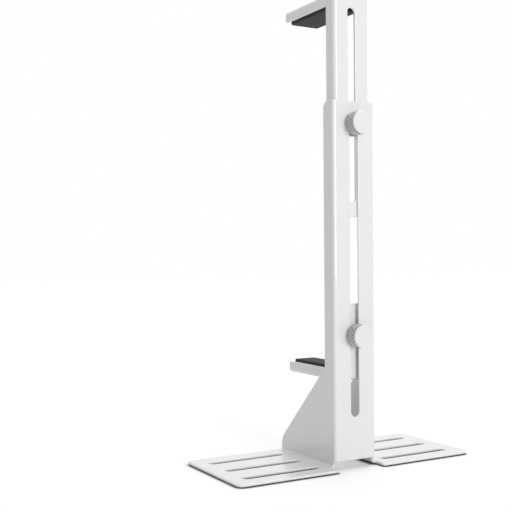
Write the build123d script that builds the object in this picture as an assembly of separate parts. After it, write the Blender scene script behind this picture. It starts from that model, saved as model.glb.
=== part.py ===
"""Graphics card support bracket.

A slotted upright on two feet, folded from one sheet. A longer post slides up
and down behind it, and its top is folded back into a clamp arm. A short shelf
slides behind the post. Two knurled thumbscrews lock the slides.

Frame: millimetres, +Z up, +Y from the face of the upright towards the arms,
+X to the right of someone who faces the bracket. The origin is the middle of
the foot slots, on the underside of the feet.
"""
import os
from math import atan2, degrees, hypot, radians, tan

from build123d import *

# Sheet metal
base_sheet = 1.2
arm_sheet = 1.5
fold_radius = 0.3            # inner radius of the upright folds
foot_fold_radius = 0.8       # inner radius of the fold between a side and a foot
edge_round = 1.2             # rounded corners at the free ends of the arms

# Upright
upright_width = 22.0
upright_height = 162.0
face_setback = 20.0          # face of the upright, in front of the slot pattern
face_lift = 3.3              # lower edge of the face above the ground
side_depth = 8.0             # depth of the side walls above the gussets
side_corner = 3.0            # rounded top corner of a side wall
track_width = 4.4
track_bottom = 22.4

# Feet and gussets
feet_span = 123.0
foot_front = 25.0            # front edge of a foot, from the slot pattern
foot_rear = 25.2             # rear edge of a foot, from the slot pattern
foot_corner = 3.0
foot_inner_corner = 1.0
gusset_height = 44.0         # where the sloping edge leaves the side wall
gusset_slope = 45.0          # degrees from the ground
gusset_round = 8.0
gusset_root = 2.0

# Foot slots
foot_slot_width = 4.4
foot_slot_length = 38.0
foot_slot_across = 71.4      # middle of a left slot to middle of a right slot
foot_slot_pitch = 15.4       # from one row of slots to the next
foot_slot_rows = 3

# Arms, folded from one channel each
channel_clearance = 0.4      # between nested channels, on each side
arm_reach = 40.6             # from the front of the channel to its free end
arm_lip = 5.2
mitre_gap = 0.3
post_side = 6.6              # depth of the post's side walls
post_bottom = 110.6
post_lip_height = 204.6      # lower edge of the clamp lips
post_slot_width = 3.9
post_slot_bottom = 117.2
post_slot_top = 203.5
shelf_side = 5.2             # depth of the shelf's side walls
shelf_bottom = 38.0
shelf_top = 72.3

# Pads
pad_gap = 0.5                # between a pad and the lips beside it
pad_proud = 1.2              # how far a pad stands out of the lips
pad_setback = 2.0            # from the free end of the arm
pad_nut_gap = 1.0            # clear of the nut plate, when the post is all the way down
pad_round = 0.6

# Thumbscrews
stud_diameter = 3.5
stud_length = 13.5           # from the end inside the knob to the tip
thread_pitch = 0.794         # travel for one turn of a thumbscrew
running_fit = 0.05           # radial clearance of a stud in a nut or washer
knob_diameter = 10.5
knob_length = 6.7
knob_chamfer = 0.6
knob_rear_chamfer = 0.3
knob_bore_depth = 5.0
washer_diameter = 8.6
washer_thickness = 0.5
upper_screw_drop = 10.2      # from the top of the upright to the upper thumbscrew
lower_screw_height = 58.3

# Nuts and spacer
nut_plate_width = 14.0
nut_plate_height = 10.0
nut_plate_thickness = 3.0
nut_plate_corner = 1.0
clinch_diameter = 8.0
clinch_thickness = 2.5
clinch_collar = 5.4          # collar of the clinch nut, pressed into the shelf
spacer_diameter = 8.0
spacer_hole_clearance = 0.2

# Places that follow from the sizes above
face_y = -face_setback
wall_back = face_y + base_sheet
fold_end = wall_back + fold_radius
post_front = wall_back
post_back = post_front + arm_sheet
shelf_front = post_back
shelf_back = shelf_front + arm_sheet
post_width = upright_width - 2 * (base_sheet + channel_clearance)
shelf_width = post_width - 2 * (arm_sheet + channel_clearance)
post_top = post_lip_height + arm_lip
upper_screw_height = upright_height - upper_screw_drop
far = 2 * (upright_height + feet_span)


def side_profile(points, thickness, middle=0.0):
    """Solid of a Y-Z outline, of the given thickness along X."""
    outline = Plane.YZ * make_face(Polyline(*points, close=True))
    return Pos(middle - thickness / 2, 0, 0) * extrude(outline, thickness)


def box_between(low, high):
    """Box from its lowest to its highest corner."""
    size = [high[i] - low[i] for i in range(3)]
    middle = [(high[i] + low[i]) / 2 for i in range(3)]
    return Pos(*middle) * Box(*size)


def upright_slot(width, bottom, top, front, depth):
    """Cutter for a vertical slot through a front wall."""
    length = top - bottom
    shape = Plane.XZ * Rot(0, 0, 90) * SlotOverall(length, width)
    cutter = extrude(shape, depth, both=True)
    return Pos(0, front, (top + bottom) / 2) * cutter


def disc(radius, start, end, height, bore=0.0):
    """Round piece about a thumbscrew's axis, from y = start to y = end."""
    ring = Circle(radius) - Circle(bore) if bore else Circle(radius)
    return Pos(0, end, height) * extrude(Plane.XZ * ring, end - start)


def edges_along(solid, axis, test):
    """Straight edges along an axis whose middle passes a test."""
    picked = solid.edges().filter_by(axis).filter_by(GeomType.LINE)
    return [edge for edge in picked if test(edge @ 0.5)]


def near(value, target):
    return abs(value - target) < 1e-4


def make_upright():
    """The channel of the upright with its gussets, down to the foot folds.

    Below the face the sides start where its folds end, clear of their curve.
    """
    half = upright_width / 2
    inner = half - base_sheet
    side_rear = face_y + side_depth
    side_bottom = base_sheet + foot_fold_radius
    slope_end = gusset_height - (foot_rear - side_rear) * tan(radians(gusset_slope))

    block = box_between((-half, face_y, side_bottom), (half, foot_rear, upright_height))
    front_folds = edges_along(block, Axis.Z, lambda p: near(p.Y, face_y))
    block = fillet(front_folds, fold_radius + base_sheet)
    hollow = box_between((-inner, wall_back, -far), (inner, far, far))
    inner_folds = edges_along(hollow, Axis.Z, lambda p: near(p.Y, wall_back))
    block -= fillet(inner_folds, fold_radius)

    sides = side_profile(
        [
            (face_y, side_bottom),
            (foot_rear, side_bottom),
            (foot_rear, slope_end),
            (side_rear, gusset_height),
            (side_rear, upright_height),
            (face_y, upright_height),
        ],
        far,
    )
    rounds = (
        (foot_rear, slope_end, gusset_round),
        (side_rear, gusset_height, gusset_root),
        (side_rear, upright_height, side_corner),
    )
    for y, z, radius in rounds:
        corner = edges_along(sides, Axis.X, lambda p: near(p.Y, y) and near(p.Z, z))
        sides = fillet(corner, radius)
    block &= sides

    block -= box_between((-far, face_y - 1, 0), (far, fold_end, face_lift))
    track_top = upper_screw_height + track_width / 2
    return block - upright_slot(track_width, track_bottom, track_top, face_y, 2 * base_sheet)


def make_foot(side):
    """One foot with its fold, on the side -1 or +1 of the upright."""
    half = upright_width / 2
    outer_fold = foot_fold_radius + base_sheet
    fold_x = half + foot_fold_radius
    mid_y = (foot_rear - foot_front) / 2
    depth = foot_front + foot_rear

    length = feet_span / 2 - fold_x
    plate = Pos(fold_x + length / 2, mid_y, 0) * extrude(Rectangle(length, depth), base_sheet)
    outer_corners = edges_along(plate, Axis.Z, lambda p: near(p.X, feet_span / 2))
    plate = fillet(outer_corners, foot_corner)
    inner_corner = edges_along(
        plate, Axis.Z, lambda p: near(p.X, fold_x) and near(p.Y, -foot_front)
    )
    plate = fillet(inner_corner, foot_inner_corner)

    first_row = -(foot_slot_rows - 1) / 2
    for row in range(foot_slot_rows):
        slot = extrude(SlotOverall(foot_slot_length, foot_slot_width), 2 * base_sheet, both=True)
        plate -= Pos(foot_slot_across / 2, (first_row + row) * foot_slot_pitch, 0) * slot

    quarter = Circle(outer_fold) - Circle(foot_fold_radius)
    quarter &= Pos(-outer_fold / 2, -outer_fold / 2) * Rectangle(outer_fold, outer_fold)
    fold = extrude(Plane.XZ * quarter, foot_rear - fold_end)
    fold = Pos(fold_x, foot_rear, outer_fold) * fold
    foot = plate + fold
    return foot if side > 0 else foot.mirror(Plane.YZ)


def make_base_bracket():
    """Upright, gussets and feet: one folded sheet."""
    return make_upright() + make_foot(-1) + make_foot(1)


def folded_channel(width, front, bottom, top, side):
    """Channel along Z whose top is folded back into an arm along Y.

    The open side of the channel and of the arm both face inside the corner.
    The side walls meet the lips of the arm at a mitre.
    """
    half = width / 2
    arm_end = front + arm_reach
    lip_edge = top - arm_lip
    outer = side_profile(
        [
            (front, bottom),
            (front + side, bottom),
            (front + side, lip_edge),
            (arm_end, lip_edge),
            (arm_end, top),
            (front, top),
        ],
        width,
    )
    free_corners = edges_along(
        outer, Axis.X, lambda p: near(p.Y, arm_end) and near(p.Z, lip_edge)
    )
    free_corners += edges_along(
        outer, Axis.X, lambda p: near(p.Y, front + side) and near(p.Z, bottom)
    )
    outer = fillet(free_corners, edge_round)
    folds = edges_along(outer, Axis.Z, lambda p: near(p.Y, front))
    folds += edges_along(outer, Axis.Y, lambda p: near(p.Z, top))
    folds += edges_along(outer, Axis.X, lambda p: near(p.Y, front) and near(p.Z, top))
    outer = fillet(folds, fold_radius + arm_sheet)

    inner_half = half - arm_sheet
    back = front + arm_sheet
    under = top - arm_sheet
    hollow = box_between((-inner_half, back, bottom - far), (inner_half, far, under))
    inner_folds = edges_along(hollow, Axis.Z, lambda p: near(p.Y, back))
    inner_folds += edges_along(hollow, Axis.Y, lambda p: near(p.Z, under))
    inner_folds += edges_along(hollow, Axis.X, lambda p: near(p.Y, back) and near(p.Z, under))
    hollow = fillet(inner_folds, fold_radius)
    channel = outer - hollow

    run = side - arm_sheet
    drop = arm_lip - arm_sheet
    past_corner = hypot(run, drop) + 2 * mitre_gap
    seam = Box(far, past_corner, mitre_gap, align=(Align.CENTER, Align.MIN, Align.CENTER))
    slit = Pos(0, back, under) * Rot(-degrees(atan2(drop, run)), 0, 0) * seam
    return channel - slit


def make_upper_post():
    """Sliding post with the clamp arm folded from its top."""
    post = folded_channel(post_width, post_front, post_bottom, post_top, post_side)
    slot = upright_slot(
        post_slot_width, post_slot_bottom, post_slot_top, post_front, 2 * arm_sheet
    )
    return post - slot


def make_shelf_arm():
    """Sliding shelf: the same fold as the post, turned upside down."""
    length = shelf_top - shelf_bottom
    arm = folded_channel(shelf_width, shelf_front, -length, 0, shelf_side)
    arm = Pos(0, 0, shelf_bottom) * arm.mirror(Plane.XY)
    hole = disc(clinch_collar / 2, shelf_front - 1, shelf_back + 1, lower_screw_height)
    return arm - hole


def make_pad(width, front, floor, up):
    """Pad between the lips of an arm, on its floor, towards up = +1 or -1."""
    room = width - 2 * (arm_sheet + pad_gap)
    start = front + arm_sheet + nut_plate_thickness + pad_nut_gap
    end = front + arm_reach - pad_setback
    height = arm_lip - arm_sheet + pad_proud
    pad = box_between((-room / 2, start, 0), (room / 2, end, height))
    pad = fillet(pad.edges().group_by(Axis.Z)[-1], pad_round)
    return Pos(0, 0, floor) * (pad if up > 0 else pad.mirror(Plane.XY))


def make_washer(height):
    """Thin washer between a knob and the face of the upright."""
    bore = stud_diameter / 2 + running_fit
    return disc(washer_diameter / 2, face_y - washer_thickness, face_y, height, bore)


def make_knob(height):
    """Thumbscrew knob with a blind bore for its stud."""
    rear = face_y - washer_thickness
    front = rear - knob_length
    knob = disc(knob_diameter / 2, front, rear, height)
    rims = knob.edges().filter_by(GeomType.CIRCLE)
    knob = chamfer([rim for rim in rims if near(rim.center().Y, front)], knob_chamfer)
    rims = knob.edges().filter_by(GeomType.CIRCLE)
    knob = chamfer([rim for rim in rims if near(rim.center().Y, rear)], knob_rear_chamfer)
    return knob - disc(stud_diameter / 2, rear - knob_bore_depth, rear + 1, height)


def make_stud(height):
    """Threaded stud, pressed into its knob. The fine thread is left plain."""
    start = face_y - washer_thickness - knob_bore_depth
    end = start + stud_length
    stud = disc(stud_diameter / 2, start, end, height)
    rims = stud.edges().filter_by(GeomType.CIRCLE)
    return chamfer([rim for rim in rims if near(rim.center().Y, end)], thread_pitch / 2)


def make_nut_plate():
    """Square-edged nut that rides between the side walls of the post."""
    plate = Box(nut_plate_width, nut_plate_thickness, nut_plate_height)
    plate = chamfer(plate.edges().filter_by(Axis.Y), nut_plate_corner)
    bore = Rot(90, 0, 0) * Cylinder(stud_diameter / 2 + running_fit, 2 * nut_plate_thickness)
    middle_y = post_back + nut_plate_thickness / 2
    return Pos(0, middle_y, upper_screw_height) * (plate - bore)


def make_clinch_nut():
    """Round nut pressed into the shelf from behind, with its collar in the sheet."""
    bore = stud_diameter / 2 + running_fit
    end = shelf_back + clinch_thickness
    head = disc(clinch_diameter / 2, shelf_back, end, lower_screw_height, bore)
    collar = disc(clinch_collar / 2, shelf_front, shelf_back, lower_screw_height, bore)
    return head + collar


def make_spacer():
    """Ring that fills the gap that the post's sheet leaves in front of the shelf."""
    bore = stud_diameter / 2 + spacer_hole_clearance
    return disc(spacer_diameter / 2, wall_back, shelf_front, lower_screw_height, bore)


def make_parts():
    """Every piece of the bracket by the name of its file."""
    return {
        "base_bracket": make_base_bracket(),
        "upper_post": make_upper_post(),
        "shelf_arm": make_shelf_arm(),
        "clamp_pad": make_pad(post_width, post_front, post_top - arm_sheet, -1),
        "shelf_pad": make_pad(shelf_width, shelf_front, shelf_bottom + arm_sheet, 1),
        "upper_thumbscrew_knob": make_knob(upper_screw_height),
        "upper_thumbscrew_stud": make_stud(upper_screw_height),
        "upper_washer": make_washer(upper_screw_height),
        "upper_nut_plate": make_nut_plate(),
        "lower_thumbscrew_knob": make_knob(lower_screw_height),
        "lower_thumbscrew_stud": make_stud(lower_screw_height),
        "lower_washer": make_washer(lower_screw_height),
        "shelf_clinch_nut": make_clinch_nut(),
        "shelf_spacer": make_spacer(),
    }


os.makedirs("parts", exist_ok=True)
for name, solid in make_parts().items():
    export_step(solid, f"parts/{name}.step")
    print(name, round(solid.volume, 1), "mm3")
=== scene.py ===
"""Graphics card support bracket: powder-coated folded steel, knurled thumbscrews,
threaded studs, nuts, washers and rubber pads, in a plain white studio.

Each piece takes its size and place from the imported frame. Lengths are metres.
"""
import math

import bpy
from bpy.props import FloatProperty, FloatVectorProperty, IntProperty, PointerProperty
from bpy.types import Operator, Panel, PropertyGroup
from mathutils import Matrix, Vector


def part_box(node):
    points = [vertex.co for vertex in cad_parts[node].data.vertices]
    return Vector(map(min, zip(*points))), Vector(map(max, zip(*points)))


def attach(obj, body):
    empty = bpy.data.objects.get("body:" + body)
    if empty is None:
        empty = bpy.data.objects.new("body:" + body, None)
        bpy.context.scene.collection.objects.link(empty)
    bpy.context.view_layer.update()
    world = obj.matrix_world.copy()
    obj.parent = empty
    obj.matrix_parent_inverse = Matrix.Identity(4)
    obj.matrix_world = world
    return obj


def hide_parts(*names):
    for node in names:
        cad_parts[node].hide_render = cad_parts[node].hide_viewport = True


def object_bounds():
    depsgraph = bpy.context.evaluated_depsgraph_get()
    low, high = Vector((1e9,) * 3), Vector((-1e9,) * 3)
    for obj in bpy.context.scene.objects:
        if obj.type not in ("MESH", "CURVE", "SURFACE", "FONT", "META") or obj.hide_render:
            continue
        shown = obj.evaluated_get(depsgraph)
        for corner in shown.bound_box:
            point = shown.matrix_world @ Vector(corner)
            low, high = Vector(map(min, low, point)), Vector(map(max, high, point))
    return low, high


bl_info = {
    "name": "Graphics card support bracket",
    "version": (1, 0, 0),
    "blender": (4, 5, 0),
    "location": "View3D > Sidebar > Bracket",
    "description": "Dresses the frame of a graphics card support bracket and sets up its studio",
    "category": "Object",
}

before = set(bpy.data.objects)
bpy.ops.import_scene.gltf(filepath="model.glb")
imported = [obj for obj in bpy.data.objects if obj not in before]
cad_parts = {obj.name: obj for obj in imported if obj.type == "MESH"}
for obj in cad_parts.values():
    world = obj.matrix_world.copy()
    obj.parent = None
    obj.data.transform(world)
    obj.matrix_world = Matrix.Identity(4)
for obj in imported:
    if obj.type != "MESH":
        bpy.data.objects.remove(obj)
cad_low, cad_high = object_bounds()

MM = 0.001
TINY = 1e-6                   # below any real step in a mesh

# angles between two faces
FLAT = math.radians(0.6)      # less than between two facets of a fold
KNURL = math.radians(12)      # less than between two faces of the knurl
THREAD = math.radians(25)     # more than between two facets round a stud
SHARP = math.radians(28)      # more than between two facets of a fold
SMOOTH = math.radians(60)     # more than between two facets of a rounded edge

EVEN_AREA = 3 * MM * MM       # faces whose areas differ by less count as equal
BESIDE, ROUND = 0, 1          # slots that tell the faces apart while edges are rounded
ROUNDED = "rounded_edge"      # attribute where the coat paints a highlight on the rounded edges
SEAM_START = -0.5 * MM        # where a mitre seam begins, along it from its inner corner
SEAM_REACH = 0.2 * MM         # how far the points of a seam lie from its middle

# along the thread, as shares of its pitch: root, flank, crest, flank
THREAD_PROFILE = ((0, 4 / 16), (1, 5 / 16), (0, 2 / 16), (-1, 5 / 16))
THREAD_DEPTH = 0.6134         # share of the pitch

WARMTH = (1, 0.985, 0.955)    # of the older nylon against the white one


class CoatSettings(PropertyGroup):
    """Powder coat of the sheet metal and the knobs."""

    color: FloatVectorProperty(
        name="Coat colour", description="White of the powder coat",
        subtype="COLOR", size=3, min=0, max=1, default=(0.86, 0.86, 0.855),
    )
    # painted highlight: the rounded sheet edges get a lighter coat colour that stands in for the
    # light they catch
    edge_highlight_color: FloatVectorProperty(
        name="Edge colour", description="Coat where it runs thin over a cut edge",
        subtype="COLOR", size=3, min=0, max=1, default=(0.93, 0.93, 0.925),
    )
    roughness: FloatProperty(
        name="Roughness", description="Roughness of the coat", min=0, max=1, default=0.34,
    )
    gloss: FloatProperty(
        name="Gloss", description="Weight of the clear, glossy skin", min=0, max=1, default=1.0,
    )
    peel_size: FloatProperty(
        name="Peel size", description="Width of one ripple in the coat",
        subtype="DISTANCE", unit="LENGTH", min=0.0001, default=0.9 * MM,
    )
    peel_depth: FloatProperty(
        name="Peel depth", description="Depth of the ripples",
        subtype="DISTANCE", unit="LENGTH", min=0, default=0.012 * MM,
    )
    edge_round: FloatProperty(
        name="Edge rounding", description="Width of the rounded sheet edges under the coat",
        subtype="DISTANCE", unit="LENGTH", min=0, default=0.42 * MM,
    )


class KnobSettings(PropertyGroup):
    """Knurled knobs of the thumbscrews."""

    # painted shade: the knurl's coat is greyer than the white coat, to stand in for the shade over
    # the knurl
    painted_knurl_shade: FloatVectorProperty(
        name="Knurl colour", description="Coat on the diamonds of the knurl",
        subtype="COLOR", size=3, min=0, max=1, default=(0.62, 0.62, 0.62),
    )
    # painted shade: near black in the knurl's grooves
    painted_groove_shade: FloatVectorProperty(
        name="Groove colour", description="Shade in the grooves of the knurl",
        subtype="COLOR", size=3, min=0, max=1, default=(0.05, 0.05, 0.05),
    )
    diamonds: IntProperty(
        name="Diamonds", description="Diamonds of the knurl, counted around the knob",
        min=8, default=20,
    )
    half_rows: IntProperty(
        name="Half rows", description="Half diamonds of the knurl, counted along the knob",
        min=2, default=4,
    )
    knurl_depth: FloatProperty(
        name="Knurl depth", description="Depth of the grooves below the flats",
        subtype="DISTANCE", unit="LENGTH", min=0, default=0.34 * MM,
    )
    flat_share: FloatProperty(
        name="Flat share", description="Size of a diamond's flat against the whole diamond",
        min=0.05, max=0.9, default=0.42,
    )
    front_chamfer: FloatProperty(
        name="Front chamfer", description="Chamfer round the end face",
        subtype="DISTANCE", unit="LENGTH", min=0, default=0.6 * MM,
    )
    rear_chamfer: FloatProperty(
        name="Rear chamfer", description="Chamfer next to the washer",
        subtype="DISTANCE", unit="LENGTH", min=0, default=0.3 * MM,
    )
    soften: FloatProperty(
        name="Softening", description="Rounding of the knurl under the coat",
        subtype="DISTANCE", unit="LENGTH", min=0, default=0.05 * MM,
    )


class HardwareSettings(PropertyGroup):
    """Studs, nuts, spacer and washers."""

    thread_pitch: FloatProperty(
        name="Thread pitch", description="Travel of a stud in one turn",
        subtype="DISTANCE", unit="LENGTH", min=0.0001, default=0.794 * MM,
    )
    thread_steps: IntProperty(
        name="Thread steps", description="Faces in one turn of the thread", min=8, default=36,
    )
    tip_chamfer: FloatProperty(
        name="Tip chamfer", description="Length of the bevelled tip of a stud",
        subtype="DISTANCE", unit="LENGTH", min=0, default=0.4 * MM,
    )
    steel_color: FloatVectorProperty(
        name="Steel colour", description="Bright zinc plating",
        subtype="COLOR", size=3, min=0, max=1, default=(0.62, 0.63, 0.65),
    )
    dull_share: FloatProperty(
        name="Dull steel", description="Steel in its duller clouds, against its colour",
        subtype="FACTOR", min=0, max=1, default=0.82,
    )
    bright_share: FloatProperty(
        name="Bright steel", description="Steel rubbed bright at its edges, against its colour",
        min=1, default=1.22,
    )
    nylon_color: FloatVectorProperty(
        name="Washer colour", description="White nylon",
        subtype="COLOR", size=3, min=0, max=1, default=(0.84, 0.84, 0.82),
    )
    edge_round: FloatProperty(
        name="Edge rounding", description="Rounding of the edges of nuts and washers",
        subtype="DISTANCE", unit="LENGTH", min=0, default=0.08 * MM,
    )


class PadSettings(PropertyGroup):
    """Rubber pads of the shelf and the clamp arm."""

    color: FloatVectorProperty(
        name="Rubber colour", description="Black of the rubber",
        subtype="COLOR", size=3, min=0, max=1, default=(0.022, 0.022, 0.023),
    )
    dust_share: FloatProperty(
        name="Dust", description="Rubber in its dusty clouds, against its colour",
        min=1, default=1.7,
    )
    grain_size: FloatProperty(
        name="Grain size", description="Width of one grain of the moulded skin",
        subtype="DISTANCE", unit="LENGTH", min=0.0001, default=0.35 * MM,
    )
    grain_depth: FloatProperty(
        name="Grain depth", description="Depth of the grain",
        subtype="DISTANCE", unit="LENGTH", min=0, default=0.03 * MM,
    )
    edge_round: FloatProperty(
        name="Edge rounding", description="Rounding of the edges of the pads",
        subtype="DISTANCE", unit="LENGTH", min=0, default=0.25 * MM,
    )


class StageSettings(PropertyGroup):
    """Camera, lamps and floor."""

    camera_place: FloatVectorProperty(
        name="Camera place", description="Where the camera stands",
        subtype="TRANSLATION", unit="LENGTH", size=3, default=(-0.2327, -0.3428, 0.0942),
    )
    camera_turn: FloatVectorProperty(
        name="Camera turn", description="Yaw, pitch and roll of the camera",
        subtype="EULER", unit="ROTATION", size=3,
        default=(math.radians(29.503), math.radians(-0.072), math.radians(-0.388)),
    )
    lens: FloatProperty(name="Lens", description="Focal length in millimetres", default=62.92)
    sensor: FloatProperty(
        name="Sensor", description="Width of the camera's sensor in millimetres", default=36,
    )
    nearest: FloatProperty(
        name="Nearest", description="Closest that the camera sees",
        subtype="DISTANCE", unit="LENGTH", min=0, default=10 * MM,
    )
    sky: FloatProperty(
        name="Sky", description="Light from all round", min=0, default=0.27,
    )
    key_light: FloatProperty(
        name="Key light", description="Light of the wide lamp before the face",
        min=0, default=1.52,
    )
    key_side: FloatVectorProperty(
        name="Key side", description="Side that the key light comes from",
        subtype="XYZ", size=3, default=(0.02, -1.0, 0.12),
    )
    key_width: FloatProperty(
        name="Key width", description="Width of the key light, seen from the bracket",
        subtype="ANGLE", unit="ROTATION", min=0, default=math.radians(26),
    )
    top_light: FloatProperty(
        name="Top light", description="Light of the wide lamp overhead", min=0, default=1.6,
    )
    top_side: FloatVectorProperty(
        name="Top side", description="Side that the top light comes from",
        subtype="XYZ", size=3, default=(0.14, 0.12, 1.0),
    )
    top_width: FloatProperty(
        name="Top width", description="Width of the top light, seen from the bracket",
        subtype="ANGLE", unit="ROTATION", min=0, default=math.radians(50),
    )
    floor_size: FloatProperty(
        name="Floor size", description="Length and width of the floor",
        subtype="DISTANCE", unit="LENGTH", min=1, default=6,
    )
    floor_glow: FloatProperty(
        name="Floor glow", description="What the floor adds to its own shade towards white",
        min=0, default=0.28,
    )
    floor_gap: FloatProperty(
        name="Floor gap", description="How far the floor lies under the feet",
        subtype="DISTANCE", unit="LENGTH", min=0, default=0.4 * MM,
    )
    floor_color: FloatVectorProperty(
        name="Floor colour", description="Pale floor in the open",
        subtype="COLOR", size=3, min=0, max=1, default=(0.9, 0.9, 0.9),
    )
    # painted shadow: the floor's colour goes to this under and beside the pieces
    painted_shadow_color: FloatVectorProperty(
        name="Contact colour", description="Floor close under an edge",
        subtype="COLOR", size=3, min=0, max=1, default=(0.1, 0.1, 0.1),
    )
    contact_reach: FloatProperty(
        name="Contact reach", description="How far an edge darkens the floor near it",
        subtype="DISTANCE", unit="LENGTH", min=0, default=2.5 * MM,
    )
    contact_power: FloatProperty(
        name="Contact power", description="How fast the floor darkens towards an edge",
        min=0, default=1.8,
    )


SETTINGS = {
    "bracket_coat": CoatSettings,
    "bracket_knob": KnobSettings,
    "bracket_hardware": HardwareSettings,
    "bracket_pad": PadSettings,
    "bracket_stage": StageSettings,
}


def deselect_all():
    """Leave object mode with nothing selected."""
    if bpy.context.object and bpy.context.object.mode != "OBJECT":
        bpy.ops.object.mode_set(mode="OBJECT")
    bpy.ops.object.select_all(action="DESELECT")


def work_on(piece):
    """Make a piece the only selected and active object."""
    deselect_all()
    piece.select_set(True)
    bpy.context.view_layer.objects.active = piece


def select_points(piece, test):
    """In edit mode, select the points whose place passes a test."""
    bpy.ops.mesh.select_mode(type="VERT")
    bpy.ops.mesh.select_all(action="DESELECT")
    bpy.ops.object.mode_set(mode="OBJECT")
    for point in piece.data.vertices:
        point.select = test(point.co)
    bpy.ops.object.mode_set(mode="EDIT")


def apply_modifier(piece, kind, **values):
    """Add a modifier, set it and apply it."""
    work_on(piece)
    modifier = piece.modifiers.new(kind.lower(), kind)
    for key, value in values.items():
        setattr(modifier, key, value)
    bpy.ops.object.modifier_apply(modifier=modifier.name)


def place(piece, location, turn):
    """Move a piece that was modelled upright at the origin to its place."""
    piece.location = location
    piece.rotation_euler = (turn, 0, 0)
    work_on(piece)
    bpy.ops.object.transform_apply(location=True, rotation=True, scale=True)


def no_point(point):
    """Test that no point passes."""
    return False


def round_edges(piece, width, steps=2, sharp=SHARP, is_kept=no_point):
    """Round the sharp edges of a piece, apart from edges between two kept points.

    Points inside a rounding, off the faces beside it, get 1 in the attribute ROUNDED.
    """
    mesh = piece.data
    for _ in (BESIDE, ROUND):
        mesh.materials.append(None)

    def keeps(edge):
        return all(is_kept(mesh.vertices[index].co) for index in edge.vertices)

    work_on(piece)
    bpy.ops.object.mode_set(mode="EDIT")
    bpy.ops.mesh.select_mode(type="EDGE")
    bpy.ops.mesh.select_all(action="DESELECT")
    bpy.ops.mesh.edges_select_sharp(sharpness=sharp)
    bpy.ops.object.mode_set(mode="OBJECT")
    mesh.polygons.foreach_set("select", [False] * len(mesh.polygons))
    for edge in mesh.edges:
        edge.select = edge.select and not keeps(edge)
    bpy.ops.object.mode_set(mode="EDIT")
    bpy.ops.mesh.bevel(
        affect="EDGES", offset=width, segments=steps, clamp_overlap=False, material=ROUND,
    )
    bpy.ops.object.mode_set(mode="OBJECT")
    beside = {
        index for face in mesh.polygons if face.material_index == BESIDE
        for index in face.vertices
    }
    rounded = mesh.attributes.new(ROUNDED, "FLOAT", "POINT").data
    for point in mesh.vertices:
        rounded[point.index].value = 0.0 if point.index in beside else 1.0

    bpy.ops.object.shade_smooth_by_angle(angle=SMOOTH)
    for edge in mesh.edges:
        edge.use_edge_sharp = edge.use_edge_sharp or keeps(edge)
    apply_modifier(
        piece, "WEIGHTED_NORMAL", mode="FACE_AREA", weight=100, keep_sharp=True,
        thresh=EVEN_AREA,
    )


def mitre_test(piece, pad, arm):
    """Test for points on the mitre seams of a folded channel, whose arm is up (1) or down (-1)."""
    pad_low, pad_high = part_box(pad)
    floor = arm * (pad_high.z if arm > 0 else pad_low.z)
    points = [Vector((0, point.co.y, arm * point.co.z)) for point in piece.data.vertices]
    front = min(point.y for point in points)
    rear = max(point.y for point in points)
    top = max(point.z for point in points)
    foot = min(point.z for point in points)
    sheet = top - floor
    end = 2 * sheet
    inner = Vector((0, front + sheet, floor))
    outer = Vector((
        0,
        max(point.y for point in points if point.z < foot + end),
        min(point.z for point in points if point.y > rear - end),
    ))
    along = (outer - inner).normalized()

    def is_on_seam(point):
        offset = Vector((0, point.y, arm * point.z)) - inner
        distance = offset.dot(along)
        return distance > SEAM_START and (offset - distance * along).length < SEAM_REACH

    return is_on_seam


def hand_over(piece, node, body, material):
    """Let a finished piece stand for its node, ride its body and take its finish."""
    if not piece.data.polygons:
        raise RuntimeError(f"{piece.name} has no faces")
    piece.data.materials.clear()
    piece.data.materials.append(material)
    piece.data.polygons.foreach_set("material_index", [0] * len(piece.data.polygons))
    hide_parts(node)
    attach(piece, body)


def merged_copy(node, name):
    """Copy of a node with its loose triangles merged into whole flat faces."""
    piece = bpy.data.objects.new(name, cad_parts[node].data.copy())
    bpy.context.scene.collection.objects.link(piece)
    work_on(piece)
    bpy.ops.mesh.customdata_custom_splitnormals_clear()
    bpy.ops.object.mode_set(mode="EDIT")
    bpy.ops.mesh.select_all(action="SELECT")
    bpy.ops.mesh.remove_doubles(threshold=TINY)
    bpy.ops.mesh.dissolve_limited(angle_limit=FLAT)
    bpy.ops.object.mode_set(mode="OBJECT")
    return piece


def new_group(name, inputs, outputs):
    """Empty shader node group with named sockets: (name, kind, default)."""
    group = bpy.data.node_groups.new(name, "ShaderNodeTree")
    for title, kind, value in inputs:
        socket = group.interface.new_socket(title, in_out="INPUT", socket_type=kind)
        socket.default_value = value
    for title, kind in outputs:
        group.interface.new_socket(title, in_out="OUTPUT", socket_type=kind)
    return group, group.nodes.new("NodeGroupInput"), group.nodes.new("NodeGroupOutput")


def add(tree, kind, **values):
    """Node with its settings, or its sockets' values where a name is a socket's."""
    node = tree.nodes.new(kind)
    for key, value in values.items():
        if hasattr(node, key):
            setattr(node, key, value)
        else:
            node.inputs[key.replace("_", " ")].default_value = value
    return node


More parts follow.
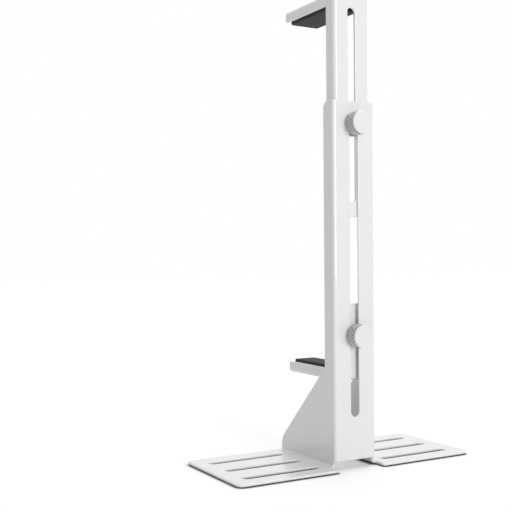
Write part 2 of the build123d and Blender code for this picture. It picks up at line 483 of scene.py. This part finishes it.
def ripple_group():
    """Shallow ripples of a skin, as a height and as a mask of its higher places."""
    group, given, out = new_group(
        "surface_ripple",
        [("Size", "NodeSocketFloat", MM), ("Detail", "NodeSocketFloat", 1.0)],
        [("Height", "NodeSocketFloat"), ("Mask", "NodeSocketFloat")],
    )
    link = group.links.new
    coordinates = add(group, "ShaderNodeTexCoord")
    density = add(group, "ShaderNodeMath", operation="DIVIDE")
    density.inputs[0].default_value = 1.0
    link(given.outputs["Size"], density.inputs[1])
    ripples = add(group, "ShaderNodeTexNoise", noise_dimensions="3D")
    link(coordinates.outputs["Object"], ripples.inputs["Vector"])
    link(density.outputs[0], ripples.inputs["Scale"])
    link(given.outputs["Detail"], ripples.inputs["Detail"])
    link(ripples.outputs["Fac"], out.inputs["Height"])
    valley, crest = 0.35, 0.65  # the noise seldom passes them
    spread = add(
        group, "ShaderNodeMapRange", interpolation_type="SMOOTHSTEP",
        From_Min=valley, From_Max=crest,
    )
    link(ripples.outputs["Fac"], spread.inputs["Value"])
    link(spread.outputs["Result"], out.inputs["Mask"])
    return group


def edge_group():
    """Mask of the outer edges of a piece, from how far they stand out, for rubbed wear on steel
    and for the ridges between the painted shade of a knurl's grooves.
    """
    group, given, out = new_group(
        "edge_wear_and_groove_shade",
        [("Start", "NodeSocketFloat", 0.52), ("Full", "NodeSocketFloat", 0.62)],
        [("Mask", "NodeSocketFloat")],
    )
    geometry = add(group, "ShaderNodeNewGeometry")
    spread = add(group, "ShaderNodeMapRange", interpolation_type="SMOOTHSTEP")
    group.links.new(geometry.outputs["Pointiness"], spread.inputs["Value"])
    group.links.new(given.outputs["Start"], spread.inputs["From Min"])
    group.links.new(given.outputs["Full"], spread.inputs["From Max"])
    group.links.new(spread.outputs["Result"], out.inputs["Mask"])
    return group


def shared_group(name):
    """A shared effect, built the first time that a material asks for it."""
    makers = {"surface_ripple": ripple_group, "edge_wear_and_groove_shade": edge_group}
    return bpy.data.node_groups.get(name) or makers[name]()


def use_group(tree, name, **values):
    """Place a shared effect in a material with its own values."""
    node = tree.nodes.new("ShaderNodeGroup")
    node.node_tree = shared_group(name)
    for key, value in values.items():
        node.inputs[key.replace("_", " ")].default_value = value
    return node


def new_material(name, **values):
    """Material with one Principled BSDF whose plain sockets are set."""
    material = bpy.data.materials.new(name)
    material.use_nodes = True
    shader = material.node_tree.nodes["Principled BSDF"]
    for key, value in values.items():
        shader.inputs[key.replace("_", " ")].default_value = value
    return material, material.node_tree, shader


def blend_colors(tree, mask, first, second):
    """Colour that goes from the first to the second by a mask."""
    mix = add(tree, "ShaderNodeMix", data_type="RGBA")
    mix.inputs["A"].default_value = (*first, 1)
    mix.inputs["B"].default_value = (*second, 1)
    tree.links.new(mask, mix.inputs["Factor"])
    return mix.outputs["Result"]


def spread_value(tree, mask, low, high):
    """Value that goes from low to high by a mask."""
    spread = add(tree, "ShaderNodeMapRange", To_Min=low, To_Max=high)
    tree.links.new(mask, spread.inputs["Value"])
    return spread.outputs["Result"]


def bump(tree, height, distance):
    """Normal from a height of 0 to 1 that stands for a distance."""
    node = add(tree, "ShaderNodeBump", Distance=distance)
    tree.links.new(height, node.inputs["Height"])
    return node.outputs["Normal"]


def coat_material():
    """Semi-gloss white powder coat with a fine orange peel and a painted highlight on its rounded
    edges.
    """
    done = bpy.data.materials.get("white_powder_coat")
    if done:
        return done
    coat = bpy.context.scene.bracket_coat
    material, tree, shader = new_material(
        "white_powder_coat", Coat_Weight=coat.gloss, Coat_Roughness=0.04, Coat_IOR=1.5,
    )
    peel = use_group(tree, "surface_ripple", Size=coat.peel_size, Detail=1.5)
    cloud = use_group(tree, "surface_ripple", Size=26 * MM, Detail=2.0)
    edge = add(tree, "ShaderNodeAttribute", attribute_name=ROUNDED)
    link = tree.links.new
    # painted highlight: lighter colour on the rounded edges
    color = blend_colors(tree, edge.outputs["Fac"], coat.color, coat.edge_highlight_color)
    smoothest, roughest = coat.roughness - 0.03, coat.roughness + 0.04
    rough = spread_value(tree, cloud.outputs["Mask"], smoothest, roughest)
    link(color, shader.inputs["Base Color"])
    link(rough, shader.inputs["Roughness"])
    link(bump(tree, peel.outputs["Height"], coat.peel_depth), shader.inputs["Normal"])
    return material


def knob_material():
    """White coat with painted shade over the knurl, darkest in its grooves."""
    done = bpy.data.materials.get("white_knob_coat")
    if done:
        return done
    coat = bpy.context.scene.bracket_coat
    knob = bpy.context.scene.bracket_knob
    material, tree, shader = new_material(
        "white_knob_coat", Coat_Weight=0.6, Coat_Roughness=0.12, Coat_IOR=1.5,
    )
    link = tree.links.new
    facing = add(tree, "ShaderNodeTexCoord")
    parts = add(tree, "ShaderNodeSeparateXYZ")
    link(facing.outputs["Normal"], parts.inputs["Vector"])
    along = add(tree, "ShaderNodeMath", operation="ABSOLUTE")
    link(parts.outputs["Y"], along.inputs[0])
    end_face, knurl_face = 0.62, 0.5  # how far each turns towards the knob's axis
    band = add(
        tree, "ShaderNodeMapRange", interpolation_type="SMOOTHSTEP",
        From_Min=end_face, From_Max=knurl_face,
    )
    link(along.outputs[0], band.inputs["Value"])
    # painted shade: dark grooves and grey diamonds over the knurl
    ridge = use_group(tree, "edge_wear_and_groove_shade", Start=0.47, Full=0.53)
    shaded_knurl = blend_colors(tree, ridge.outputs["Mask"], knob.painted_groove_shade, knob.painted_knurl_shade)
    whole = add(tree, "ShaderNodeMix", data_type="RGBA")
    whole.inputs["A"].default_value = (*coat.color, 1)
    link(shaded_knurl, whole.inputs["B"])
    link(band.outputs["Result"], whole.inputs["Factor"])
    link(whole.outputs["Result"], shader.inputs["Base Color"])
    peel = use_group(tree, "surface_ripple", Size=coat.peel_size, Detail=1.5)
    smoothest, roughest = coat.roughness, coat.roughness + 0.06
    rough = spread_value(tree, peel.outputs["Mask"], smoothest, roughest)
    link(rough, shader.inputs["Roughness"])
    link(bump(tree, peel.outputs["Height"], coat.peel_depth), shader.inputs["Normal"])
    return material


def steel_material():
    """Bright zinc plating with fine turning marks and rubbed edges."""
    done = bpy.data.materials.get("zinc_plated_steel")
    if done:
        return done
    hardware = bpy.context.scene.bracket_hardware
    material, tree, shader = new_material("zinc_plated_steel", Metallic=1.0)
    mark_size, mark_depth = 0.12 * MM, 0.004 * MM
    smoothest, roughest = 0.24, 0.36
    cloud = use_group(tree, "surface_ripple", Size=1.6 * MM, Detail=3.0)
    marks = use_group(tree, "surface_ripple", Size=mark_size, Detail=2.0)
    edge = use_group(tree, "edge_wear_and_groove_shade", Start=0.52, Full=0.64)
    color = hardware.steel_color
    dull = [hardware.dull_share * part for part in color]
    bright = [min(1.0, hardware.bright_share * part) for part in color]
    plated = blend_colors(tree, cloud.outputs["Mask"], dull, color)
    rubbed = add(tree, "ShaderNodeMix", data_type="RGBA")
    link = tree.links.new
    link(plated, rubbed.inputs["A"])
    rubbed.inputs["B"].default_value = (*bright, 1)
    link(edge.outputs["Mask"], rubbed.inputs["Factor"])
    link(rubbed.outputs["Result"], shader.inputs["Base Color"])
    rough = spread_value(tree, cloud.outputs["Mask"], smoothest, roughest)
    link(rough, shader.inputs["Roughness"])
    link(bump(tree, marks.outputs["Height"], mark_depth), shader.inputs["Normal"])
    return material


def nylon_material():
    """Moulded white nylon."""
    done = bpy.data.materials.get("white_nylon")
    if done:
        return done
    hardware = bpy.context.scene.bracket_hardware
    material, tree, shader = new_material("white_nylon", IOR=1.53)
    cloud = use_group(tree, "surface_ripple", Size=2.5 * MM, Detail=2.0)
    color = hardware.nylon_color
    warm = [share * part for share, part in zip(WARMTH, color)]
    link = tree.links.new
    link(blend_colors(tree, cloud.outputs["Mask"], color, warm), shader.inputs["Base Color"])
    smoothest, roughest = 0.42, 0.52
    rough = spread_value(tree, cloud.outputs["Mask"], smoothest, roughest)
    link(rough, shader.inputs["Roughness"])
    return material


def rubber_material():
    """Matt black rubber with a moulded grain."""
    done = bpy.data.materials.get("black_rubber")
    if done:
        return done
    pad = bpy.context.scene.bracket_pad
    material, tree, shader = new_material("black_rubber", IOR=1.5)
    grain = use_group(tree, "surface_ripple", Size=pad.grain_size, Detail=3.0)
    cloud = use_group(tree, "surface_ripple", Size=7 * MM, Detail=3.0)
    color = pad.color
    dusty = [pad.dust_share * part for part in color]
    link = tree.links.new
    link(blend_colors(tree, cloud.outputs["Mask"], color, dusty), shader.inputs["Base Color"])
    smoothest, roughest = 0.62, 0.78
    rough = spread_value(tree, grain.outputs["Mask"], smoothest, roughest)
    link(rough, shader.inputs["Roughness"])
    link(bump(tree, grain.outputs["Height"], pad.grain_depth), shader.inputs["Normal"])
    return material


class BRACKET_OT_sheet_metal(Operator):
    """Base, post and shelf arm: folded sheet with rounded, coated edges"""

    bl_idname = "bracket.sheet_metal"
    bl_label = "Folded sheet metal"

    def execute(self, context):
        width = context.scene.bracket_coat.edge_round
        folded = (
            ("base_bracket", "folded_base", "base", None, 0),
            ("upper_post", "sliding_post", "post", "clamp_pad", 1),
            ("shelf_arm", "sliding_shelf", "shelf", "shelf_pad", -1),
        )
        for node, name, body, pad, arm in folded:
            piece = merged_copy(node, name)
            round_edges(piece, width, is_kept=mitre_test(piece, pad, arm) if pad else no_point)
            hand_over(piece, node, body, coat_material())
        return {"FINISHED"}


def ring_out(rise, grow):
    """Extrude the selected ring by a rise and resize it about the axis."""
    bpy.ops.mesh.extrude_region_move(TRANSFORM_OT_translate={"value": (0, 0, rise)})
    bpy.ops.transform.resize(value=(grow, grow, 1), center_override=(0, 0, 0))


def knurled_knob(node, name):
    """Knob with a diamond knurl, modelled upright from its rear end."""
    knob = bpy.context.scene.bracket_knob
    low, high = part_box(node)
    stud_low, stud_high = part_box(node.replace("knob", "stud"))
    radius = (high.x - low.x) / 2
    length = high.y - low.y
    bore_radius = (stud_high.x - stud_low.x) / 2
    around = 2 * knob.diamonds
    run_out = knob.knurl_depth
    root = radius - knob.knurl_depth
    peak = root + knob.knurl_depth / (1 - knob.flat_share)
    start = knob.rear_chamfer + run_out
    end = length - knob.front_chamfer - run_out
    step = (end - start) / knob.half_rows

    deselect_all()
    bpy.ops.mesh.primitive_circle_add(vertices=around, radius=root, location=(0, 0, 0))
    piece = bpy.context.object
    piece.name = name
    bpy.ops.object.mode_set(mode="EDIT")
    bpy.ops.mesh.select_all(action="SELECT")
    bpy.ops.transform.translate(value=(0, 0, start))
    for _ in range(knob.half_rows):
        ring_out(step, 1)

    def is_peak(point):
        column = round(math.atan2(point.y, point.x) / (2 * math.pi) * around)
        row = round((point.z - start) / step)
        return (column + row) % 2 == 1

    def is_end_peak(point):
        return is_peak(point) and not start + step / 2 < point.z < end - step / 2

    for test, grow in ((is_peak, peak / root), (is_end_peak, radius / peak)):
        select_points(piece, test)
        bpy.ops.transform.resize(value=(grow, grow, 1), center_override=(0, 0, 0))
    bpy.ops.mesh.select_all(action="SELECT")
    bpy.ops.mesh.quads_convert_to_tris(quad_method="SHORTEST_DIAGONAL")

    middle_radius = (root + peak) / 2
    for height, side, chamfer in ((end, 1, knob.front_chamfer), (start, -1, knob.rear_chamfer)):
        select_points(piece, lambda point: abs(point.z - height) < TINY)
        ring_out(side * run_out, 1)
        bpy.ops.transform.tosphere(value=1)
        grow = radius / middle_radius
        bpy.ops.transform.resize(value=(grow, grow, 1), center_override=(0, 0, 0))
        ring_out(side * chamfer, 1 - chamfer / radius)
        if height == end:
            bpy.ops.mesh.edge_face_add()
    ring_out(0, bore_radius / (radius - knob.rear_chamfer))
    ring_out(high.y - stud_low.y, 1)
    bpy.ops.mesh.edge_face_add()
    select_points(piece, lambda point: point.xy.length > radius + TINY)
    bpy.ops.mesh.bevel(
        affect="VERTICES", offset_type="PERCENT", offset_pct=100 * knob.flat_share
    )
    bpy.ops.mesh.select_all(action="SELECT")
    bpy.ops.mesh.normals_make_consistent(inside=False)
    bpy.ops.object.mode_set(mode="OBJECT")
    round_edges(piece, knob.soften, sharp=KNURL)
    middle = (low + high) / 2
    place(piece, (middle.x, high.y, middle.z), math.radians(90))
    return piece


class BRACKET_OT_knobs(Operator):
    """Knurled knobs of both thumbscrews"""

    bl_idname = "bracket.knobs"
    bl_label = "Knurled knobs"

    def execute(self, context):
        for side in ("upper", "lower"):
            node = side + "_thumbscrew_knob"
            piece = knurled_knob(node, side + "_knurled_knob")
            hand_over(piece, node, side + "_thumbscrew", knob_material())
        return {"FINISHED"}


def threaded_stud(node, name):
    """Stud with a right-hand thread, modelled upright from the end inside the knob."""
    hardware = bpy.context.scene.bracket_hardware
    low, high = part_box(node)
    crest = (high.x - low.x) / 2
    length = high.y - low.y
    pitch = hardware.thread_pitch
    tooth = THREAD_DEPTH * pitch
    root = crest - tooth
    spare_turns = 1.5    # made beyond each end
    margin = pitch / 4   # left of them for the cone to trim

    deselect_all()
    bpy.ops.mesh.primitive_plane_add(size=pitch, location=(0, 0, 0))
    piece = bpy.context.object
    piece.name = name
    bpy.ops.object.mode_set(mode="EDIT")
    bpy.ops.mesh.select_mode(type="VERT")
    bpy.ops.mesh.select_all(action="SELECT")
    bpy.ops.mesh.merge(type="CENTER")
    bpy.ops.transform.translate(value=(root, 0, -spare_turns * pitch))
    for out, up in THREAD_PROFILE:
        bpy.ops.mesh.extrude_vertices_move(
            TRANSFORM_OT_translate={"value": (out * tooth, 0, up * pitch)}
        )
    apply_modifier(
        piece, "SCREW", axis="Z", angle=2 * math.pi, screw_offset=pitch,
        iterations=math.ceil(length / pitch + 2 * spare_turns), steps=hardware.thread_steps,
        render_steps=hardware.thread_steps,
    )
    bpy.ops.object.mode_set(mode="EDIT")
    bpy.ops.mesh.select_all(action="SELECT")
    bpy.ops.mesh.remove_doubles(threshold=TINY)
    for height, inner in ((-margin, True), (length + margin, False)):
        bpy.ops.mesh.select_all(action="SELECT")
        bpy.ops.mesh.bisect(
            plane_co=(0, 0, height), plane_no=(0, 0, 1), use_fill=True,
            clear_inner=inner, clear_outer=not inner,
        )
    bpy.ops.mesh.select_all(action="SELECT")
    bpy.ops.mesh.normals_make_consistent(inside=False)
    bpy.ops.object.mode_set(mode="OBJECT")

    # the cone's slope of 45 degrees bevels the tip, and its flat faces trim both ends
    tip = crest - hardware.tip_chamfer
    deselect_all()
    bpy.ops.mesh.primitive_cone_add(
        vertices=2 * hardware.thread_steps, radius1=tip + length, radius2=tip, depth=length,
        location=(0, 0, length / 2),
    )
    cutter = bpy.context.object
    apply_modifier(piece, "BOOLEAN", operation="INTERSECT", object=cutter, solver="EXACT")
    work_on(cutter)
    bpy.ops.object.delete()
    work_on(piece)
    bpy.ops.object.shade_smooth_by_angle(angle=THREAD)
    middle = (low + high) / 2
    place(piece, (middle.x, low.y, middle.z), math.radians(-90))
    return piece


class BRACKET_OT_studs(Operator):
    """Threaded studs of both thumbscrews"""

    bl_idname = "bracket.studs"
    bl_label = "Threaded studs"

    def execute(self, context):
        for side in ("upper", "lower"):
            node = side + "_thumbscrew_stud"
            piece = threaded_stud(node, side + "_threaded_stud")
            hand_over(piece, node, side + "_thumbscrew", steel_material())
        return {"FINISHED"}


class BRACKET_OT_small_parts(Operator):
    """Nuts, spacer and washers, with rounded edges"""

    bl_idname = "bracket.small_parts"
    bl_label = "Nuts, spacer and washers"

    def execute(self, context):
        width = context.scene.bracket_hardware.edge_round
        steel = ("zinc_plated_steel", steel_material)
        nylon = ("white_nylon", nylon_material)
        small = (
            ("upper_nut_plate", "square_nut", "base", *steel),
            ("shelf_clinch_nut", "pressed_nut", "shelf", *steel),
            ("shelf_spacer", "spacer_ring", "shelf", *nylon),
            ("upper_washer", "upper_thin_washer", "upper_clamp_washer", *nylon),
            ("lower_washer", "lower_thin_washer", "lower_clamp_washer", *nylon),
        )
        for node, name, body, slot, material in small:
            piece = merged_copy(node, name)
            round_edges(piece, width)
            hand_over(piece, node, body, material())
        return {"FINISHED"}


class BRACKET_OT_pads(Operator):
    """Rubber pads of the shelf and the clamp arm"""

    bl_idname = "bracket.pads"
    bl_label = "Rubber pads"

    def execute(self, context):
        width = context.scene.bracket_pad.edge_round
        for node, name, body in (
            ("clamp_pad", "clamp_rubber", "post"),
            ("shelf_pad", "shelf_rubber", "shelf"),
        ):
            piece = merged_copy(node, name)
            round_edges(piece, width, steps=3)
            hand_over(piece, node, body, rubber_material())
        return {"FINISHED"}


def seen_rays(tree):
    """1 for what the camera, a mirror or clear glass sees, 0 for the light itself."""
    path = add(tree, "ShaderNodeLightPath")
    mirrored = add(tree, "ShaderNodeMath", operation="MAXIMUM")
    seen = add(tree, "ShaderNodeMath", operation="MAXIMUM")
    tree.links.new(path.outputs["Is Camera Ray"], mirrored.inputs[0])
    tree.links.new(path.outputs["Is Glossy Ray"], mirrored.inputs[1])
    tree.links.new(mirrored.outputs[0], seen.inputs[0])
    tree.links.new(path.outputs["Is Transmission Ray"], seen.inputs[1])
    return seen.outputs[0]


def white_surroundings(sky):
    """World that is seen as plain white and gives softer light than that."""
    world = bpy.data.worlds.new("white_studio")
    bpy.context.scene.world = world
    world.use_nodes = True
    tree = world.node_tree
    background = tree.nodes["Background"]
    background.inputs["Color"].default_value = (1, 1, 1, 1)
    tree.links.new(spread_value(tree, seen_rays(tree), sky, 1.0), background.inputs["Strength"])


def painted_contact_shadow(tree, reach, power):
    """Mask that is 1 in the open and falls towards 0 where a piece nearly touches, for painted
    contact shadow on the floor.
    """
    near_pieces = add(tree, "ShaderNodeAmbientOcclusion", samples=16, Distance=reach)
    deeper = add(tree, "ShaderNodeMath", operation="POWER")
    deeper.inputs[1].default_value = power
    tree.links.new(near_pieces.outputs["AO"], deeper.inputs[0])
    return deeper.outputs[0]


def floor_material():
    """Pale floor that takes soft shadows, with painted contact shadow darkening its colour and
    glow near the pieces, and goes over into the white behind it.
    """
    stage = bpy.context.scene.bracket_stage
    material, tree, shader = new_material(
        "studio_floor", Roughness=0.9, Emission_Color=(1, 1, 1, 1), Specular_IOR_Level=0,
    )
    painted_shadow_mask = painted_contact_shadow(tree, stage.contact_reach, stage.contact_power)
    # painted shadow: the floor darkens near the pieces, and its glow fades there too
    color = blend_colors(tree, painted_shadow_mask, stage.painted_shadow_color, stage.floor_color)
    glow = spread_value(tree, seen_rays(tree), 0, stage.floor_glow)
    strength = add(tree, "ShaderNodeMath", operation="MULTIPLY")
    link = tree.links.new
    link(color, shader.inputs["Base Color"])
    link(glow, strength.inputs[0])
    link(painted_shadow_mask, strength.inputs[1])
    link(strength.outputs[0], shader.inputs["Emission Strength"])
    return material


def wide_lamp(name, side, light, width):
    """Far lamp on one side of the bracket, with soft shadows."""
    deselect_all()
    bpy.ops.object.light_add(type="SUN", location=side)
    lamp = bpy.context.object
    lamp.name = name
    lamp.data.energy = light
    lamp.data.angle = width
    lamp.rotation_euler = Vector(side).to_track_quat("Z", "Y").to_euler()


class BRACKET_OT_studio(Operator):
    """Camera, floor, lamps and white surroundings"""

    bl_idname = "bracket.studio"
    bl_label = "Studio"

    def execute(self, context):
        stage = context.scene.bracket_stage
        deselect_all()
        bpy.ops.mesh.primitive_plane_add(
            size=stage.floor_size, location=(0, 0, cad_low.z - stage.floor_gap)
        )
        floor = context.object
        floor.name = "floor"
        floor.data.materials.append(floor_material())

        wide_lamp("key_lamp", stage.key_side, stage.key_light, stage.key_width)
        wide_lamp("top_lamp", stage.top_side, stage.top_light, stage.top_width)

        yaw, pitch, roll = stage.camera_turn
        ahead = Vector((
            math.sin(yaw) * math.cos(pitch), math.cos(yaw) * math.cos(pitch), math.sin(pitch)
        ))
        level = Vector((math.cos(yaw), -math.sin(yaw), 0))
        above = level.cross(ahead)
        across = math.cos(roll) * level + math.sin(roll) * above
        up = math.cos(roll) * above - math.sin(roll) * level
        bpy.ops.object.camera_add()
        camera = context.object
        camera.name = "camera"
        turn = Matrix((across, up, -ahead)).transposed().to_4x4()
        camera.matrix_world = Matrix.Translation(stage.camera_place) @ turn
        camera.data.lens = stage.lens
        camera.data.sensor_width = stage.sensor
        camera.data.clip_start = stage.nearest
        context.scene.camera = camera

        white_surroundings(stage.sky)
        context.scene.view_settings.view_transform = "Standard"
        return {"FINISHED"}


STEPS = (
    BRACKET_OT_sheet_metal,
    BRACKET_OT_knobs,
    BRACKET_OT_studs,
    BRACKET_OT_small_parts,
    BRACKET_OT_pads,
    BRACKET_OT_studio,
)


class BRACKET_PT_sidebar(Panel):
    """Settings and steps of the bracket"""

    bl_idname = "BRACKET_PT_sidebar"
    bl_label = "Graphics card support bracket"
    bl_space_type = "VIEW_3D"
    bl_region_type = "UI"
    bl_category = "Bracket"

    def draw(self, context):
        for step in STEPS:
            self.layout.operator(step.bl_idname)
        for name in SETTINGS:
            settings = getattr(context.scene, name)
            box = self.layout.box()
            box.label(text=settings.bl_rna.name)
            for key in settings.__annotations__:
                box.prop(settings, key)


def register():
    for group in SETTINGS.values():
        bpy.utils.register_class(group)
    for name, group in SETTINGS.items():
        setattr(bpy.types.Scene, name, PointerProperty(type=group))
    for step in (*STEPS, BRACKET_PT_sidebar):
        bpy.utils.register_class(step)


def unregister():
    for step in reversed((*STEPS, BRACKET_PT_sidebar)):
        bpy.utils.unregister_class(step)
    for name in SETTINGS:
        delattr(bpy.types.Scene, name)
    for group in reversed(tuple(SETTINGS.values())):
        bpy.utils.unregister_class(group)


def main():
    register()
    bpy.ops.bracket.sheet_metal()
    bpy.ops.bracket.knobs()
    bpy.ops.bracket.studs()
    bpy.ops.bracket.small_parts()
    bpy.ops.bracket.pads()
    bpy.ops.bracket.studio()


if __name__ == "__main__":
    main()
